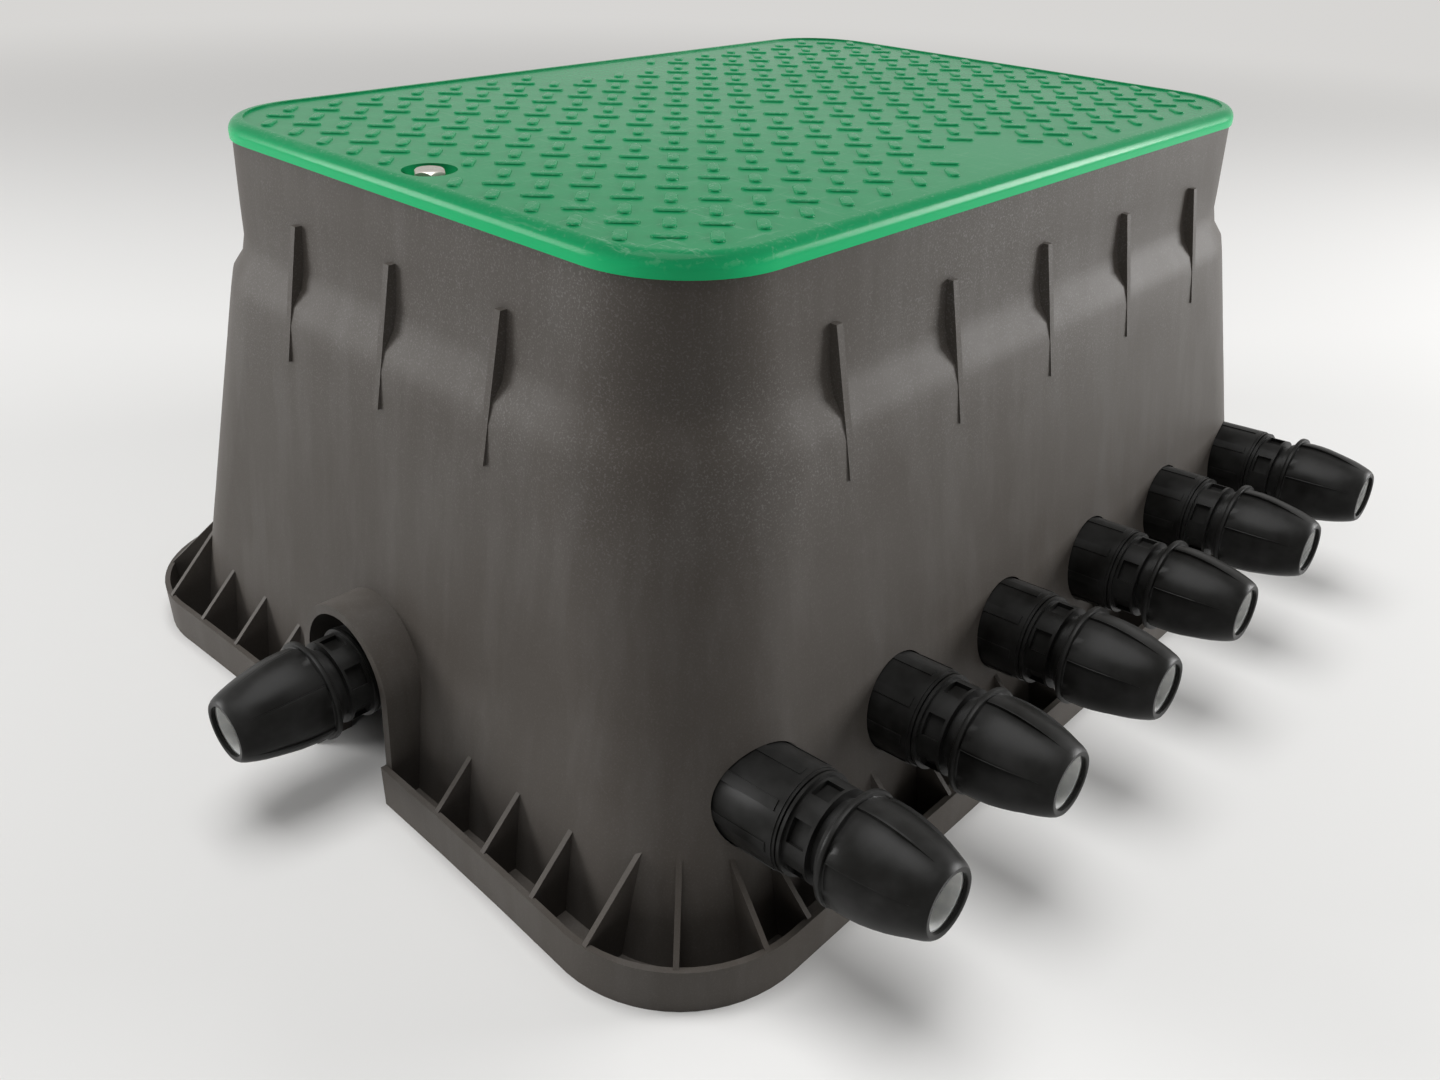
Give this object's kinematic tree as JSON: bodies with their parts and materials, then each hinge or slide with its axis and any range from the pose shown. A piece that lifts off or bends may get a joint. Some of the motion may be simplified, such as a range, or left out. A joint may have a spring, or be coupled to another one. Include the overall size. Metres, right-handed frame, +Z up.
{
  "type": "irrigation valve box",
  "caption": "Buried box with a bolted green lid that houses solenoid valves on a manifold, with compression fittings for supply and outlet pipes.",
  "frame": {"origin": "centre of the box's base, on the ground", "axes": "X runs along the box's long side, Y across it and +Z up; the inlet is at -X and the outlets at -Y"},
  "size_m": [0.6985, 0.5639, 0.3025],
  "materials": {
    "box_plastic": "brownish dark grey moulded polypropylene with a fine grain",
    "lid_plastic": "green moulded polypropylene, lightly scuffed",
    "fitting_plastic": "satin black moulded polypropylene",
    "pipework_plastic": "satin black glass-filled nylon",
    "coil_plastic": "black encapsulating resin",
    "ring_plastic": "pale acetal resin",
    "steel": "plain stainless steel",
    "rubber": "black nitrile rubber"
  },
  "bodies": {
    "box": {"box_body": "box_plastic", "lid_nut": "steel", "bonnet_screws": "steel", "fitting_seals": "rubber", "union_seals": "rubber", "diaphragms": "rubber", "pressing_bushes": "ring_plastic", "manifold": "pipework_plastic", "manifold_cap": "pipework_plastic", "union_nuts": "pipework_plastic", "outlet_1_fitting_body": "fitting_plastic", "outlet_2_fitting_body": "fitting_plastic", "outlet_3_fitting_body": "fitting_plastic", "outlet_4_fitting_body": "fitting_plastic", "outlet_5_fitting_body": "fitting_plastic", "outlet_6_fitting_body": "fitting_plastic", "inlet_fitting_body": "fitting_plastic", "wall_socket_1": "fitting_plastic", "valve_body_1": "pipework_plastic", "valve_bonnet_1": "pipework_plastic", "wall_socket_2": "fitting_plastic", "valve_body_2": "pipework_plastic", "valve_bonnet_2": "pipework_plastic", "wall_socket_3": "fitting_plastic", "valve_body_3": "pipework_plastic", "valve_bonnet_3": "pipework_plastic", "wall_socket_4": "fitting_plastic", "valve_body_4": "pipework_plastic", "valve_bonnet_4": "pipework_plastic", "wall_socket_5": "fitting_plastic", "valve_body_5": "pipework_plastic", "valve_bonnet_5": "pipework_plastic", "wall_socket_6": "fitting_plastic", "valve_body_6": "pipework_plastic", "valve_bonnet_6": "pipework_plastic"},
    "cover": {"lid": "lid_plastic"},
    "washer": {"lid_washer": "steel"},
    "bolt": {"lid_bolt": "steel"},
    "outlet_1_grip": {"outlet_1_grip_ring": "ring_plastic"},
    "outlet_1_collar": {"outlet_1_nut": "fitting_plastic"},
    "outlet_2_grip": {"outlet_2_grip_ring": "ring_plastic"},
    "outlet_2_collar": {"outlet_2_nut": "fitting_plastic"},
    "outlet_3_grip": {"outlet_3_grip_ring": "ring_plastic"},
    "outlet_3_collar": {"outlet_3_nut": "fitting_plastic"},
    "outlet_4_grip": {"outlet_4_grip_ring": "ring_plastic"},
    "outlet_4_collar": {"outlet_4_nut": "fitting_plastic"},
    "outlet_5_grip": {"outlet_5_grip_ring": "ring_plastic"},
    "outlet_5_collar": {"outlet_5_nut": "fitting_plastic"},
    "outlet_6_grip": {"outlet_6_grip_ring": "ring_plastic"},
    "outlet_6_collar": {"outlet_6_nut": "fitting_plastic"},
    "inlet_grip": {"inlet_grip_ring": "ring_plastic"},
    "inlet_collar": {"inlet_nut": "fitting_plastic"},
    "coil_1": {"solenoid_1": "coil_plastic"},
    "coil_2": {"solenoid_2": "coil_plastic"},
    "coil_3": {"solenoid_3": "coil_plastic"},
    "coil_4": {"solenoid_4": "coil_plastic"},
    "coil_5": {"solenoid_5": "coil_plastic"},
    "coil_6": {"solenoid_6": "coil_plastic"}
  },
  "joints": [
    {"name": "lid_lift", "type": "slide", "parent": "box", "child": "cover", "axis": [0, 0, 1], "range_m": [0, 0.25]},
    {"name": "washer_rise", "type": "slide", "parent": "cover", "child": "washer", "axis": [0, 0, 1], "range_m": [0, 0.0063]},
    {"name": "bolt_turn", "type": "hinge", "parent": "washer", "child": "bolt", "pos_m": [-0.235, 0, 0.297], "axis": [0, 0, 1], "range_deg": [0, 1800]},
    {"name": "outlet_1_grip_slide", "type": "slide", "parent": "box", "child": "outlet_1_grip", "axis": [0, -0.9981, 0.061], "range_m": [0, 0.006]},
    {"name": "outlet_1_nut_turn", "type": "hinge", "parent": "outlet_1_grip", "child": "outlet_1_collar", "pos_m": [-0.239, -0.28946, 0.0797], "axis": [0, -0.9981, 0.061], "range_deg": [0, 720]},
    {"name": "outlet_2_grip_slide", "type": "slide", "parent": "box", "child": "outlet_2_grip", "axis": [0, -0.9981, 0.061], "range_m": [0, 0.006]},
    {"name": "outlet_2_nut_turn", "type": "hinge", "parent": "outlet_2_grip", "child": "outlet_2_collar", "pos_m": [-0.1434, -0.28946, 0.0797], "axis": [0, -0.9981, 0.061], "range_deg": [0, 720]},
    {"name": "outlet_3_grip_slide", "type": "slide", "parent": "box", "child": "outlet_3_grip", "axis": [0, -0.9981, 0.061], "range_m": [0, 0.006]},
    {"name": "outlet_3_nut_turn", "type": "hinge", "parent": "outlet_3_grip", "child": "outlet_3_collar", "pos_m": [-0.0478, -0.28946, 0.0797], "axis": [0, -0.9981, 0.061], "range_deg": [0, 720]},
    {"name": "outlet_4_grip_slide", "type": "slide", "parent": "box", "child": "outlet_4_grip", "axis": [0, -0.9981, 0.061], "range_m": [0, 0.006]},
    {"name": "outlet_4_nut_turn", "type": "hinge", "parent": "outlet_4_grip", "child": "outlet_4_collar", "pos_m": [0.0478, -0.28946, 0.0797], "axis": [0, -0.9981, 0.061], "range_deg": [0, 720]},
    {"name": "outlet_5_grip_slide", "type": "slide", "parent": "box", "child": "outlet_5_grip", "axis": [0, -0.9981, 0.061], "range_m": [0, 0.006]},
    {"name": "outlet_5_nut_turn", "type": "hinge", "parent": "outlet_5_grip", "child": "outlet_5_collar", "pos_m": [0.1434, -0.28946, 0.0797], "axis": [0, -0.9981, 0.061], "range_deg": [0, 720]},
    {"name": "outlet_6_grip_slide", "type": "slide", "parent": "box", "child": "outlet_6_grip", "axis": [0, -0.9981, 0.061], "range_m": [0, 0.006]},
    {"name": "outlet_6_nut_turn", "type": "hinge", "parent": "outlet_6_grip", "child": "outlet_6_collar", "pos_m": [0.239, -0.28946, 0.0797], "axis": [0, -0.9981, 0.061], "range_deg": [0, 720]},
    {"name": "inlet_grip_slide", "type": "slide", "parent": "box", "child": "inlet_grip", "axis": [-1, 0, 0], "range_m": [0, 0.006]},
    {"name": "inlet_nut_turn", "type": "hinge", "parent": "inlet_grip", "child": "inlet_collar", "pos_m": [-0.35, 0, 0.062], "axis": [-1, 0, 0], "range_deg": [0, 720]},
    {"name": "solenoid_1_turn", "type": "hinge", "parent": "box", "child": "coil_1", "pos_m": [-0.239, -0.13508, 0.13037], "axis": [0, 0.061, 0.9981], "range_deg": [0, 90]},
    {"name": "solenoid_2_turn", "type": "hinge", "parent": "box", "child": "coil_2", "pos_m": [-0.1434, -0.13508, 0.13037], "axis": [0, 0.061, 0.9981], "range_deg": [0, 90]},
    {"name": "solenoid_3_turn", "type": "hinge", "parent": "box", "child": "coil_3", "pos_m": [-0.0478, -0.13508, 0.13037], "axis": [0, 0.061, 0.9981], "range_deg": [0, 90]},
    {"name": "solenoid_4_turn", "type": "hinge", "parent": "box", "child": "coil_4", "pos_m": [0.0478, -0.13508, 0.13037], "axis": [0, 0.061, 0.9981], "range_deg": [0, 90]},
    {"name": "solenoid_5_turn", "type": "hinge", "parent": "box", "child": "coil_5", "pos_m": [0.1434, -0.13508, 0.13037], "axis": [0, 0.061, 0.9981], "range_deg": [0, 90]},
    {"name": "solenoid_6_turn", "type": "hinge", "parent": "box", "child": "coil_6", "pos_m": [0.239, -0.13508, 0.13037], "axis": [0, 0.061, 0.9981], "range_deg": [0, 90]}
  ],
  "couplings": [
    {"joint": "washer_rise", "follows": "bolt_turn", "m_per_rad": 0.00019894},
    {"joint": "outlet_1_grip_slide", "follows": "outlet_1_nut_turn", "m_per_rad": 0.000477},
    {"joint": "outlet_2_grip_slide", "follows": "outlet_2_nut_turn", "m_per_rad": 0.000477},
    {"joint": "outlet_3_grip_slide", "follows": "outlet_3_nut_turn", "m_per_rad": 0.000477},
    {"joint": "outlet_4_grip_slide", "follows": "outlet_4_nut_turn", "m_per_rad": 0.000477},
    {"joint": "outlet_5_grip_slide", "follows": "outlet_5_nut_turn", "m_per_rad": 0.000477},
    {"joint": "outlet_6_grip_slide", "follows": "outlet_6_nut_turn", "m_per_rad": 0.000477},
    {"joint": "inlet_grip_slide", "follows": "inlet_nut_turn", "m_per_rad": 0.000477}
  ]
}
